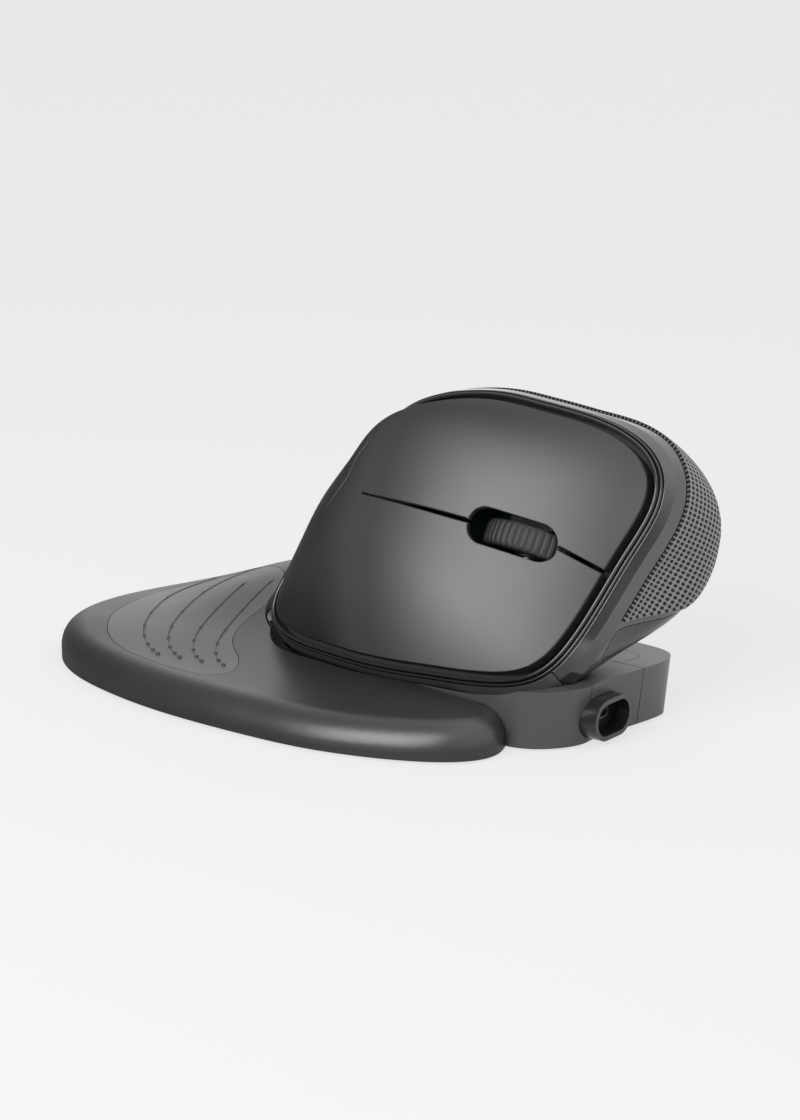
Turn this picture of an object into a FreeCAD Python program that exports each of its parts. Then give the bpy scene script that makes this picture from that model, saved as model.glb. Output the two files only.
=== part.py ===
import FreeCAD, Part
import math
import os

V = FreeCAD.Vector

# The mouse is a tilted head on a low base, with a palm rest clipped beside it.
# X points forward, Y to the user's left (the thumb side), Z up, in millimetres.
# Head parts are drawn in the rim plane: x forward, y up the slope, z out of the
# finger side, and place_head() then turns them into the desk frame.

# Head placement
tilt = 62.0
rim_foot_y = -27.0

# Finger shell: rim outline in the rim plane, crown and walls
shell_rim = [
    (11, 80.5), (26, 80.2), (41, 78.6), (53, 75.6), (61, 70.3), (63.3, 62), (60, 50.8),
    (56.3, 39), (52.4, 28.5), (46, 20.6), (34, 17.2), (19, 16), (3, 15.2), (-12, 15.8),
    (-24, 17.4), (-29.3, 23), (-26.8, 34), (-21.5, 48), (-14.6, 62.5), (-7, 75),
]
crown_x = 4.0
crown_y = 46.0
crown_height = 16.5
front_fullness = 2.0
rear_fullness = 5.5
fullness_turn = 1.0
fullness_blend = (-0.4, 0.95)
crown_slack = 5.0
shell_wall = 2.0
shell_skirt = 4.4
button_skirt = 3.0

# Finger buttons: split line, hinge line and travel
hinge_x = -1.0
hinge_gap = 0.4
hinge_height = 10.0
hinge_pin_radius = 1.2
hinge_pin_gap = 0.3
hinge_pin_start = 1.5
hinge_pin_length = 7.5
hinge_web = 1.8
hinge_saddle = 4.0
hinge_saddle_wall = 1.2
split_width = 0.9
split_path = [(-1.0, 49.9), (48.5, 47.8), (66.0, 43.4)]
button_turn = 0.8

# Rear inlay, let into the shell above a floor level
inlay_outline = [
    (-15, 60), (-14.5, 52), (-18, 44), (-24, 40), (-40, 42), (-44, 52), (-40, 62), (-24, 64),
]
inlay_floor = 2.0
part_seam = 0.2

# Scroll wheel and its slot
slot_x = 38.8
slot_length = 23.0
slot_width = 8.4
slot_corner = 3.2
wheel_x = 37.8
wheel_y = 48.1
wheel_turn = -3.0
wheel_radius = 11.4
wheel_width = 6.2
wheel_height = -0.3
wheel_ribs = 40
rib_depth = 0.35
rib_crest = 0.5
rib_foot = (0.62, 0.88)
tyre_thickness = 2.6
tyre_bevel = 1.0
hub_dish = 1.6
hub_nave_radius = 3.2
axle_radius = 1.5
axle_length = 17.0
running_gap = 0.06
yoke_wall = 1.6
yoke_gap = 0.7
yoke_floor_gap = 1.2
yoke_length = 12.0
yoke_above_axle = 3.2
yoke_travel = 0.6
encoder_size = (9.0, 4.0, 9.0)
click_switch_size = (8.0, 6.0)
click_gap = 0.1

# Rim trim: distances outward from the shell's edge
trim_gap = 1.2
inner_bead_width = 0.9
outer_bead_start = 2.25
outer_bead_width = 0.6
band_start = 3.0
inner_bead_top = -0.9
outer_bead_top = -1.7
band_top = -2.5
frame_top = -4.6
frame_bottom = -7.2
frame_lip = 2.6
band_side = 4.6
band_front = 6.4
band_shoulder = -4.3
bead_slope = 0.45
bead_crest = 0.4
bead_inner_drop = 0.8
band_shoulder_share = 0.62
band_edge_step = 0.5
band_edge_drop = 0.15
seam_low_top_y = 24.0
frame_gap = 0.15
band_seam = 0.3
seam_low_x = 44.6
seam_top_x = -16.0

# Thumb body: sections from the frame down to the thumb side
body_start = -7.25
body_x = 14.0
body_y = 60.0
body_depth = 34.0
body_sections = [0.0, 0.12, 0.28, 0.46, 0.62, 0.76, 0.87, 0.95, 0.99]
body_low_rise = 40.0
body_wall = 2.4
body_roundness = 2.7
body_edge_step = 0.3
body_swell = 0.03
body_swell_rate = 3.1
skin_thickness = 1.2
head_collar_drop = 0.3

# Grip skin, front window and thumb pad, in the desk frame
grip_corners = [
    (-60, 26.6), (13, 29.2), (19.5, 31.6), (22.8, 37.6), (23.6, 46.6), (23.6, 90), (-60, 90),
]
grip_rear_x = -12.0
window_x = (45, 85)
thumb_side_y = (24, 60)
window_outline = [
    (-5.5, 20.2), (-4.6, 25.0), (-2.0, 26.6), (5, 27.0), (12.5, 27.4), (13.5, 26.8),
    (12, 24.2), (4, 20.6),
]
thumb_pad_outline = [
    (-8, 36), (6, 33.5), (24, 33), (42, 35), (50, 41), (46, 47.5), (26, 49.5), (4, 49),
    (-8, 44),
]

# Thumb buttons
thumb_button_height = 7.0
thumb_button_length = 17.0
thumb_button_z = 57.5
forward_button_x = 37.0
back_button_x = 17.0
thumb_travel = 0.6
button_gap = 0.3

# Inside the head
inside_gap = 0.4
chassis_level = -22.0
chassis_thickness = 2.0
pcb_level = -11.5
pcb_thickness = 1.6
head_board_x = (2.0, 51.0)
head_board_y = (29.0, 70.0)
post_radius = 2.4
post_spots = [(6, 36), (6, 66), (42, 36), (42, 66)]
switch_x = 43.0
switch_spread = 14.5
switch_size = (12.8, 5.8, 6.5)
plunger_radius = 0.9
plunger_clearance = 0.4
plunger_top = -2.6
plunger_length = 2.4
button_post_wall = 0.7
battery_size = (42.0, 22.0, 6.0)
battery_x = -12.0
battery_y = 46.0
battery_gap = 0.1
side_board_height = 10.0
side_board_margin = 8.0
side_board_thickness = 1.2
side_switch_size = 6.0

# Base
base_outline = [
    (57.4, -9), (58.4, 3), (60.0, 15), (57, 21.5), (40, 23.5), (10, 25), (-18, 23.5),
    (-34, 15), (-38.5, 0), (-34, -12), (-20, -18.5), (5, -20), (28, -22), (45, -23),
    (54, -18),
]
base_height = 14.5
base_lean = 1.6
base_wall = 2.2
foot_height = 0.6
base_plate_thickness = 1.8
plate_gap = 0.15
head_clearance = 0.3
panel_y = (-10.2, 8.2)
panel_rear_x = 52.0
shelf_outline = [
    (54, 9.5), (55.5, 14), (52, 17.2), (38, 19), (10, 20.5), (-12, 19.5), (-17, 15.5),
    (-12, 11.5), (10, 11), (38, 9.5),
]
shelf_thickness = 0.95
glide_spots = [(46, -4, 20), (-26, 3, 18)]
glide_width = 7.0
foot_bond = 0.02

# Base screws and the bosses that they turn into
screw_spots = [(48, -14), (48, 14), (-28, -9), (-28, 14)]
screw_radius = 1.1
screw_length = 6.0
screw_head_radius = 2.3
screw_head_height = 0.8
screw_gap = 0.2
boss_wall = 1.6

# Sensor, its board and the power knob
sensor_x = 8.0
sensor_y = 2.0
lens_radius = 3.6
lens_neck_radius = 2.6
lens_gap = 0.4
chip_size = 12.0
chip_height = 3.0
base_board_x = (-20.0, 52.5)
base_board_y = 9.0
base_board_thickness = 1.2
knob_x = -12.0
knob_length = 6.0
knob_width = 3.2
knob_travel = 2.2
knob_gap = 0.4
knob_proud = 0.3

# Charging port on the base's front wall
port_y = -5.5
port_z = 6.3
port_front = 62.0
port_rear = 56.4
port_width = 15.0
port_tall = 9.6
port_wall = 1.1
port_floor = 1.0
port_gap = 0.1
plug_front = 57.8
plug_width = 7.5
plug_height = 2.6
plug_wall = 0.35
plug_depth = 5.4
plug_gap = 0.05
tongue_width = 5.2
tongue_height = 0.6
tongue_setback = 1.2

# Palm rest
rest_outline = [
    (46, -27), (38.5, -41.8), (16, -51), (-6, -53.6), (-33, -53.2), (-56, -49.5),
    (-74, -43), (-88, -31), (-92.5, -14), (-87, 4), (-73, 19), (-54, 27), (-36, 20),
    (-28, -6), (-10, -13), (14, -16), (36, -17),
]
rest_edge_height = 8.5
rest_slope = 1.5
rest_slope_y = (-50.0, -25.0)
rest_hump = 11.5
rest_hump_x = -42.0
rest_hump_y = 14.0
rest_hump_spread_x = 27.0
rest_hump_spread_y = 30.0
rest_edge_radius = 6.5
rest_gap = 0.4
rest_plate_inset = 9.0
rest_plate_thickness = 1.4
rest_plate_gap = 0.15
rest_foot_radius = 4.5
rest_foot_spots = [(-72, -28), (-72, 2), (-40, -38), (14, -38)]

# Magnets that hold the rest to the base, beside two points of the base outline
magnet_points = (10, 12)
magnet_size = (10.0, 3.0, 3.4)
magnet_low = 2.6
magnet_gap = 0.1
magnet_cover = 1.0
pad_outline = [
    (-71, -32.5), (-58, -41.2), (-43, -44.6), (-30, -45), (-23.3, -40.5), (-27, -33),
    (-35, -25.9), (-38.6, -15), (-38.5, -5), (-45, 5), (-56, 10), (-68, 9), (-77, 3),
    (-80.6, -9), (-77.6, -23),
]
pad_thickness = 1.5


def closed_spline(points):
    """A smooth closed edge through points, one spline span from each to the next."""
    curve = Part.BSplineCurve()
    spans = [float(i) for i in range(len(points) + 1)]
    curve.interpolate(Points=points, PeriodicFlag=True, Parameters=spans)
    return curve


def flat_spline(outline, z=0.0):
    return closed_spline([V(x, y, z) for x, y in outline])


def offset_outline(outline, distances):
    """Outline points moved outward, square to the curve, by one distance or a list."""
    if not isinstance(distances, (list, tuple)):
        distances = [distances] * len(outline)
    curve = flat_spline(outline)
    area = 0.0
    for (x0, y0), (x1, y1) in zip(outline, outline[1:] + outline[:1]):
        area += (x0 * y1 - x1 * y0) / 2
    side = 1 if area > 0 else -1
    moved = []
    for i, (x, y) in enumerate(outline):
        along = curve.tangent(float(i))[0]
        moved.append((x + side * distances[i] * along.y, y - side * distances[i] * along.x))
    return moved


def prism(outline, z0, z1):
    """Upright solid on a smooth closed outline."""
    wire = Part.Wire([flat_spline(outline, z0).toShape()])
    return Part.Face(wire).extrude(V(0, 0, z1 - z0))


def polygon_prism(points, z0, z1):
    corners = [V(x, y, z0) for x, y in points]
    wire = Part.makePolygon(corners + corners[:1])
    return Part.Face(wire).extrude(V(0, 0, z1 - z0))


def post(radius, x, y, z0, z1):
    return Part.makeCylinder(radius, z1 - z0, V(x, y, z0))


def block(x0, x1, y0, y1, z0, z1):
    return Part.makeBox(x1 - x0, y1 - y0, z1 - z0, V(x0, y0, z0))


def rounded_slab(length, width, corner, z0, z1):
    """Upright slab with round corners, centred on the origin, its length along x."""
    slab = block(-length / 2, length / 2, -width / 2, width / 2, z0, z1)
    corner = min(corner, length / 2 - 0.01, width / 2 - 0.01)
    upright = [e for e in slab.Edges if abs(e.tangentAt(e.FirstParameter).z) > 0.9]
    return slab.makeFillet(corner, upright)


def ring_solid(rows):
    """Closed ring whose section corners each follow one closed curve."""
    edges = [closed_spline(row).toShape() for row in rows]
    faces = []
    for first, second in zip(edges, edges[1:] + edges[:1]):
        faces.append(Part.makeRuledSurface(first, second))
    solid = Part.Solid(Part.Shell(faces))
    if solid.Volume < 0:
        solid.reverse()
    return solid


def loft_solid(rows):
    """Solid skinned through closed sections and capped at both ends."""
    wires = [Part.Wire([closed_spline(row).toShape()]) for row in rows]
    return Part.makeLoft(wires, True, False)


def level(outline, z):
    return [V(x, y, z) for x, y in outline]


def largest(shape):
    return max(shape.Solids, key=lambda s: s.Volume)


def smooth(value, low, high):
    t = min(1.0, max(0.0, (value - low) / (high - low)))
    return t * t * (3 - 2 * t)


def reach_table(outline, cx, cy):
    """Distance from a centre to the outline, by direction, sampled once round."""
    curve = flat_spline(outline)
    steps = 360
    table = []
    for i in range(steps):
        p = curve.value(len(outline) * i / steps)
        table.append((math.atan2(p.y - cy, p.x - cx), math.hypot(p.x - cx, p.y - cy)))
    table.sort()
    first = (table[0][0] + 2 * math.pi, table[0][1])
    last = (table[-1][0] - 2 * math.pi, table[-1][1])
    return [last] + table + [first]


def reach_at(table, angle):
    low, high = 0, len(table) - 1
    while high - low > 1:
        mid = (low + high) // 2
        if table[mid][0] <= angle:
            low = mid
        else:
            high = mid
    span = table[high][0] - table[low][0]
    share = (angle - table[low][0]) / span if span else 0.0
    return table[low][1] + share * (table[high][1] - table[low][1])


def solid_below(height, x_range, y_range, nx, ny):
    """Everything under the smooth surface z = height(x, y), far down past the part."""
    x0, x1 = x_range
    y0, y1 = y_range
    grid = []
    for i in range(nx + 1):
        x = x0 + (x1 - x0) * i / nx
        row = []
        for j in range(ny + 1):
            y = y0 + (y1 - y0) * j / ny
            row.append(V(x, y, height(x, y)))
        grid.append(row)
    surface = Part.BSplineSurface()
    surface.interpolate(grid)
    return surface.toShape().extrude(V(0, 0, -far))


def span_of(values, margin):
    return min(values) - margin, max(values) + margin


def place_head(shape):
    """Turn a shape drawn in the rim plane into the desk frame."""
    placed = shape.copy()
    placed.rotate(V(0, 0, 0), V(1, 0, 0), tilt)
    placed.translate(V(0, rim_foot_y, 0))
    return placed


far = 200.0
parts = {}


def crown_solid(inset, floor):
    """The finger shell's outside, or its inside when inset by the wall."""
    outline = offset_outline(shell_rim, -inset)
    table = reach_table(outline, crown_x, crown_y)
    top = crown_height - inset

    def height(x, y):
        angle = math.atan2(y - crown_y, x - crown_x)
        share = math.hypot(x - crown_x, y - crown_y) / reach_at(table, angle)
        back = smooth(-math.cos(angle + fullness_turn), *fullness_blend)
        power = front_fullness + (rear_fullness - front_fullness) * back
        if share <= 1:
            return top * (1 - share ** power)
        return top * power * (1 - share)

    x_range = span_of([x for x, y in outline], 4)
    y_range = span_of([y for x, y in outline], 4)
    under = solid_below(height, x_range, y_range, 26, 18)
    return prism(outline, floor, crown_height + crown_slack).common(under)


def split_region(side):
    """Everything on one side of the split between the two finger buttons."""
    half = side * split_width / 2
    edge = [(x, y + half) for x, y in split_path]
    corners = edge + [(far, side * far), (split_path[0][0] - 1, side * far)]
    return polygon_prism(corners, -far, far)


def hinge_pin(side, radius):
    """Round bar on the hinge line, on one side of the split."""
    start = split_path[0][1] + side * hinge_pin_start
    return Part.makeCylinder(radius, hinge_pin_length, V(hinge_x, start, hinge_height),
                             V(0, side, 0))


def hinge_block(side, x0, x1, low):
    """Rib as long as the hinge pin, from a level up to the shell."""
    ends = sorted(split_path[0][1] + side * d
                  for d in (hinge_pin_start, hinge_pin_start + hinge_pin_length))
    return block(x0, x1, ends[0], ends[1], low, far)


def make_finger_shell():
    """The finger shell is moulded hollow, then split into shell and two buttons.

    Each button hangs by a pin that lies in a round saddle under the palm shell."""
    outer = crown_solid(0, -shell_skirt)
    inner = crown_solid(shell_wall, -shell_skirt - 1)
    skin = outer.cut(inner)
    slot = rounded_slab(slot_length, slot_width, slot_corner, -far, far)
    slot.rotate(V(0, 0, 0), V(0, 0, 1), wheel_turn)
    slot.translate(V(slot_x, wheel_y, 0))
    skin = skin.cut(slot)
    shell = skin.common(block(-far, hinge_x - hinge_gap / 2, -far, far, -far, far))
    inlay_zone = prism(inlay_outline, inlay_floor, far)
    inlay_hole = prism(offset_outline(inlay_outline, part_seam), inlay_floor - part_seam, far)
    parts["rear_inlay"] = place_head(shell.common(inlay_zone))
    palm = shell.cut(inlay_hole)
    saddle_floor = hinge_height - hinge_pin_radius - hinge_saddle_wall
    for side in (1, -1):
        saddle = hinge_block(side, hinge_x - hinge_saddle, hinge_x - hinge_gap / 2, saddle_floor)
        saddle = saddle.common(outer).cut(hinge_pin(side, hinge_pin_radius + hinge_pin_gap))
        palm = palm.fuse(saddle)
    parts["palm_shell"] = place_head(palm.removeSplitter())
    front_skin = skin.common(block(hinge_x + hinge_gap / 2, far, -far, far, -button_skirt, far))
    for name, side in (("left", 1), ("right", -1)):
        button = front_skin.common(split_region(side))
        stem = post(plunger_radius + button_post_wall, switch_x, wheel_y + side * switch_spread,
                    plunger_top, far)
        web = hinge_block(side, hinge_x + hinge_gap / 2, hinge_x + hinge_web, hinge_height)
        button = button.fuse(stem.common(outer)).fuse(web.common(outer))
        button = button.fuse(hinge_pin(side, hinge_pin_radius)).removeSplitter()
        parts[name + "_button"] = place_head(button)


def band_reach(outline):
    """How far the outer band stands out at each rim point: more at the front."""
    reach = []
    for x, y in outline:
        front = smooth(x - 0.25 * y, 18, 42)
        reach.append(band_side + (band_front - band_side) * front)
    return reach


def make_rim():
    """Frame and three trims, each a closed ring that follows the shell's rim."""

    def row(distances, z):
        return level(offset_outline(shell_rim, distances), z)

    frame_edge = band_start - frame_gap
    parts["head_frame"] = place_head(ring_solid([
        row(-frame_lip, frame_bottom), row(frame_edge, frame_bottom),
        row(frame_edge, frame_top), row(-frame_lip, frame_top)]))
    for name, start, width, top in (
            ("inner_trim_ring", trim_gap, inner_bead_width, inner_bead_top),
            ("outer_trim_ring", outer_bead_start, outer_bead_width, outer_bead_top)):
        parts[name] = place_head(ring_solid([
            row(start, frame_top), row(start + width, frame_top),
            row(start + width, top - bead_slope), row(start + bead_crest * width, top),
            row(start, top - bead_inner_drop * bead_slope)]))
    reach = band_reach(shell_rim)
    shoulder = [band_start + band_shoulder_share * (r - band_start) for r in reach]
    band = ring_solid([
        row(band_start, frame_bottom), row(reach, frame_bottom),
        row(shoulder, band_shoulder),
        row(band_start + band_edge_step, band_top - band_edge_drop),
        row(band_start, band_top)])
    seam_low = block(0, band_seam, -far, seam_low_top_y, -far, far)
    seam_low.translate(V(seam_low_x, 0, 0))
    seam_top = block(seam_top_x, seam_top_x + band_seam, crown_y, far, -far, far)
    halves = band.cut(seam_low).cut(seam_top).Solids
    halves.sort(key=lambda s: s.CenterOfMass.x)
    parts["lower_band"] = place_head(halves[0])
    parts["front_band"] = place_head(halves[-1])


def body_section(inset, share, depth, clearance=0.0):
    """One closed section of the thumb body, a share of the way to the thumb side."""
    edge = offset_outline(shell_rim, [r - body_edge_step for r in band_reach(shell_rim)])
    front = max(x for x, y in edge) - body_x
    rear = body_x - min(x for x, y in edge)
    top = max(y for x, y in edge) - body_y
    low = body_y - min(y for x, y in edge)
    grow = clearance - inset
    blend = smooth(share, 0.0, 0.5)
    swell = 1 + body_swell * math.sin(body_swell_rate * share)
    reach_front = front * (1 - share ** 4.5) ** (1 / 2.2) * swell
    reach_rear = rear * (1 - share ** 2.4) ** 0.5
    reach_top = top * (1 - share ** 2) ** 0.5
    reach_low = (low - body_low_rise * share ** 1.1) * (1 - share ** 8) ** 0.5
    section = []
    for x, y in edge:
        u = (x - body_x) / (front if x > body_x else rear)
        v = (y - body_y) / (top if y > body_y else low)
        angle = math.atan2(v, u)
        c, s = abs(math.cos(angle)), abs(math.sin(angle))
        full = 1 / (c ** body_roundness + s ** body_roundness) ** (1 / body_roundness)
        u += blend * (full * math.cos(angle) - u)
        v += blend * (full * math.sin(angle) - v)
        reach_x = (reach_front if u > 0 else reach_rear) + grow
        reach_y = (reach_top if v > 0 else reach_low) + grow
        section.append(V(body_x + u * max(reach_x, 1.0), body_y + v * max(reach_y, 1.0),
                         body_start - depth * share))
    return section


def body_solid(inset, clearance=0.0):
    """The thumb body's outside, or its inside when inset by a wall."""
    depth = body_depth + clearance - inset
    return loft_solid([body_section(inset, s, depth, clearance) for s in body_sections])


def head_envelope(clearance):
    """Room that the whole head takes up, grown by a clearance."""
    reach = [r + clearance for r in band_reach(shell_rim)]
    collar_floor = frame_bottom - head_collar_drop - clearance
    collar = prism(offset_outline(shell_rim, reach), collar_floor, far)
    return place_head(collar).fuse(place_head(body_solid(0, clearance)))


def tube_along(outline, axis, low, high):
    """Solid with a smooth closed outline drawn across x or y, in the desk frame."""
    if axis == "x":
        points = [V(low, a, b) for a, b in outline]
        step = V(high - low, 0, 0)
    else:
        points = [V(a, low, b) for a, b in outline]
        step = V(0, high - low, 0)
    return Part.Face(Part.Wire([closed_spline(points).toShape()])).extrude(step)


def key_panel(x, length, height):
    """Long round-ended key outline seen from the thumb side, cut through the wall."""
    slab = rounded_slab(length, height, height / 2, -far, 0)
    slab.rotate(V(0, 0, 0), V(1, 0, 0), 90)
    slab.translate(V(x, thumb_side_y[0], thumb_button_z))
    return slab


def make_thumb_body():
    """Hollow thumb body with its grip skin, window, thumb pad and thumb buttons."""
    outer = place_head(body_solid(0))
    wall = outer.cut(place_head(body_solid(body_wall)))
    skin = outer.cut(place_head(body_solid(skin_thickness)))

    def grip_region(grow):
        corners = [V(grip_rear_x - grow, y + grow, z - grow) for y, z in grip_corners]
        wire = Part.makePolygon(corners + corners[:1])
        return Part.Face(wire).extrude(V(far, 0, 0))

    parts["grip_skin"] = skin.common(grip_region(-part_seam / 2))
    shell = wall.cut(skin.common(grip_region(part_seam / 2)))
    for name, outline, axis, low, high in (
            ("front_window", window_outline, "x", *window_x),
            ("thumb_pad", thumb_pad_outline, "y", *thumb_side_y)):
        parts[name] = skin.common(tube_along(outline, axis, low, high))
        hole = tube_along(offset_outline(outline, part_seam), axis, low, high)
        shell = shell.cut(skin.common(hole))
    for name, x in (("forward_button", forward_button_x), ("back_button", back_button_x)):
        key = key_panel(x, thumb_button_length, thumb_button_height)
        hole = key_panel(x, thumb_button_length + 2 * button_gap,
                         thumb_button_height + 2 * button_gap)
        parts[name] = wall.common(key)
        shell = shell.cut(hole)
    parts["thumb_shell"] = shell


def place_wheel(shape):
    """Turn a shape drawn about an axle along y into the wheel's place in the head."""
    placed = shape.copy()
    placed.rotate(V(0, 0, 0), V(0, 0, 1), wheel_turn)
    placed.translate(V(wheel_x, wheel_y, wheel_height))
    return place_head(placed)


def disc(radius, y0, y1):
    return Part.makeCylinder(radius, y1 - y0, V(0, y0, 0), V(0, 1, 0))


def make_tyre():
    """Ribbed tyre: raised ribs across a bevelled ring."""
    half = wheel_width / 2
    ribbed = []
    for i in range(wheel_ribs):
        for share, drop in ((0.0, 0.0), (rib_crest, 0.0), (rib_foot[0], rib_depth),
                            (rib_foot[1], rib_depth)):
            angle = 2 * math.pi * (i + share) / wheel_ribs
            radius = wheel_radius - drop
            ribbed.append(V(radius * math.cos(angle), -half, radius * math.sin(angle)))
    wire = Part.makePolygon(ribbed + ribbed[:1])
    tyre = Part.Face(wire).extrude(V(0, wheel_width, 0))
    for side in (-1, 1):
        cone = Part.makeCone(wheel_radius - tyre_bevel, wheel_radius + wheel_width,
                             tyre_bevel + wheel_width, V(0, side * half, 0), V(0, -side, 0))
        tyre = tyre.common(cone)
    return tyre.cut(disc(wheel_radius - tyre_thickness, -wheel_width, wheel_width))


def make_wheel():
    """Ribbed tyre on a hub with its axle, in a sprung yoke beside an encoder."""
    half = wheel_width / 2
    hub_radius = wheel_radius - tyre_thickness
    parts["wheel_tyre"] = place_wheel(make_tyre())
    hub = disc(hub_radius, -half, half)
    for side in (-1, 1):
        dish = disc(hub_radius - hub_dish, -hub_dish, hub_dish).cut(
            disc(hub_nave_radius, -wheel_width, wheel_width))
        dish.translate(V(0, side * half, 0))
        hub = hub.cut(dish)
    parts["wheel_hub"] = place_wheel(hub.cut(disc(axle_radius, -wheel_width, wheel_width)))
    parts["wheel_axle"] = place_wheel(disc(axle_radius, -axle_length / 2, axle_length / 2))

    arm_in = half + yoke_gap
    arm_out = arm_in + yoke_wall
    floor = -wheel_radius - yoke_floor_gap
    journal = disc(axle_radius + running_gap, -axle_length, axle_length)
    half_length = yoke_length / 2
    yoke = block(-half_length, half_length, -arm_out, arm_out, floor - yoke_wall, yoke_above_axle)
    yoke = yoke.cut(block(-yoke_length, yoke_length, -arm_in, arm_in, floor, yoke_above_axle + 1))
    parts["wheel_yoke"] = place_wheel(yoke.cut(journal))
    long, wide, tall = encoder_size
    encoder = block(-long / 2, long / 2, arm_out, arm_out + wide, yoke_above_axle - tall,
                    yoke_above_axle)
    parts["wheel_encoder"] = place_wheel(encoder.cut(journal))
    long, wide = click_switch_size
    seat = chassis_level + chassis_thickness - wheel_height
    click = block(-long / 2, long / 2, -wide / 2, wide / 2, seat,
                  floor - yoke_wall - yoke_travel - click_gap)
    parts["wheel_click_switch"] = place_wheel(click)


def make_chassis():
    """Chassis plate, cut to the thumb body's inside at the plate's lower face."""
    inset = body_wall + inside_gap
    depth = body_depth - inset
    share = (body_start - chassis_level) / depth
    outline = [(p.x, p.y) for p in body_section(inset, share, depth)]
    parts["chassis_plate"] = place_head(
        prism(outline, chassis_level, chassis_level + chassis_thickness))


def make_head_board():
    """Circuit board on posts, with a well for the wheel and a switch for each button."""
    board_top = pcb_level + pcb_thickness
    sunk = wheel_height - yoke_travel - board_top
    chord = math.sqrt(max(wheel_radius ** 2 - sunk ** 2, 0.0)) + inside_gap
    well_reach = max(chord, yoke_length / 2 + inside_gap)
    arm_out = wheel_width / 2 + yoke_gap + yoke_wall
    well = block(-well_reach, well_reach, -arm_out - 2 * inside_gap,
                 arm_out + encoder_size[1] + 2 * inside_gap, -far, far)
    board = block(head_board_x[0], head_board_x[1], head_board_y[0], head_board_y[1],
                  pcb_level, board_top)
    parts["head_board"] = place_head(board).cut(place_wheel(well))
    seat = chassis_level + chassis_thickness
    legs = [post(post_radius, x, y, seat, pcb_level) for x, y in post_spots]
    parts["board_posts"] = place_head(Part.makeCompound(legs))
    length, width, height = switch_size
    sink = (switch_x - hinge_x) * math.tan(math.radians(button_turn)) + plunger_clearance
    foot = plunger_top - plunger_length
    for name, side in (("left", 1), ("right", -1)):
        y = wheel_y + side * switch_spread
        body = block(switch_x - length / 2, switch_x + length / 2, y - width / 2, y + width / 2,
                     board_top, board_top + height)
        bore = post(plunger_radius + plunger_clearance, switch_x, y, foot - sink, far)
        parts[name + "_switch"] = place_head(body.cut(bore))
        parts[name + "_plunger"] = place_head(post(plunger_radius, switch_x, y, foot, plunger_top))


def make_battery():
    length, width, height = battery_size
    top = chassis_level - battery_gap
    parts["battery_cell"] = place_head(
        block(battery_x, battery_x + length, battery_y, battery_y + width, top - height, top))


def make_thumb_switches():
    """Side board standing on the chassis plate, a switch behind each thumb button.

    The plate is notched behind the buttons, so that they can be pressed."""
    backs = {}
    for name, x in (("forward_button", forward_button_x), ("back_button", back_button_x)):
        inner = min(p.y for p in parts[name].tessellate(0.05)[0])
        backs[x] = inner - thumb_travel - part_seam
    front = min(backs.values()) - side_switch_size / 2
    rear = front - side_board_thickness
    lean = math.radians(tilt)
    plate_top = chassis_level + chassis_thickness + inside_gap
    foot = ((front - rim_foot_y) * math.sin(lean) + plate_top) / math.cos(lean)
    half_key = side_board_margin
    parts["side_board"] = block(
        min(backs) - half_key, max(backs) + half_key, rear, front, foot, foot + side_board_height)
    half = side_switch_size / 2
    notch_x = thumb_button_length / 2 + button_gap + inside_gap
    notch_z = thumb_button_height / 2 + button_gap + inside_gap
    switches = []
    plate = parts["chassis_plate"]
    for x, back in backs.items():
        switches.append(block(x - half, x + half, front, back,
                              thumb_button_z - half, thumb_button_z + half))
        plate = plate.cut(block(x - notch_x, x + notch_x, front - inside_gap, far,
                                thumb_button_z - notch_z, thumb_button_z + notch_z))
    parts["side_switches"] = Part.makeCompound(switches)
    parts["chassis_plate"] = largest(plate)


def base_solid(grow, z0, z1):
    """Base block whose walls lean outward towards the top."""
    high = offset_outline(base_outline, grow + base_lean * z1 / base_height)
    start = offset_outline(base_outline, grow + base_lean * z0 / base_height)
    return loft_solid([level(start, z0), level(high, z1)])


def port_shape(grow, x0, x1):
    """Round-ended plug shape across x, at the charging port."""
    solid = rounded_slab(port_width + 2 * grow, port_tall + 2 * grow, port_tall / 2 + grow,
                         0, x1 - x0)
    solid.rotate(V(0, 0, 0), V(1, 1, 1), 120)
    solid.translate(V(x0, port_y, port_z))
    return solid


def screw_bosses():
    low = foot_height + base_plate_thickness + plate_gap
    pillars = None
    for x, y in screw_spots:
        pillar = post(screw_radius + screw_gap + boss_wall, x, y, low, base_height - base_wall / 2)
        pillars = pillar if pillars is None else pillars.fuse(pillar)
    return pillars


def magnet_blocks(distance, side, gap):
    """Magnets a distance outside the base outline (inside when negative)."""
    long, deep, tall = magnet_size
    lean = base_lean * magnet_low / base_height
    spots = offset_outline(base_outline, distance + lean)
    blocks = []
    for i in magnet_points:
        x, y = spots[i]
        y0, y1 = (y - deep, y) if side < 0 else (y, y + deep)
        blocks.append(block(x - long / 2 - gap, x + long / 2 + gap, y0 - gap, y1 + gap,
                            magnet_low - gap, magnet_low + tall + gap))
    return blocks


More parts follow.
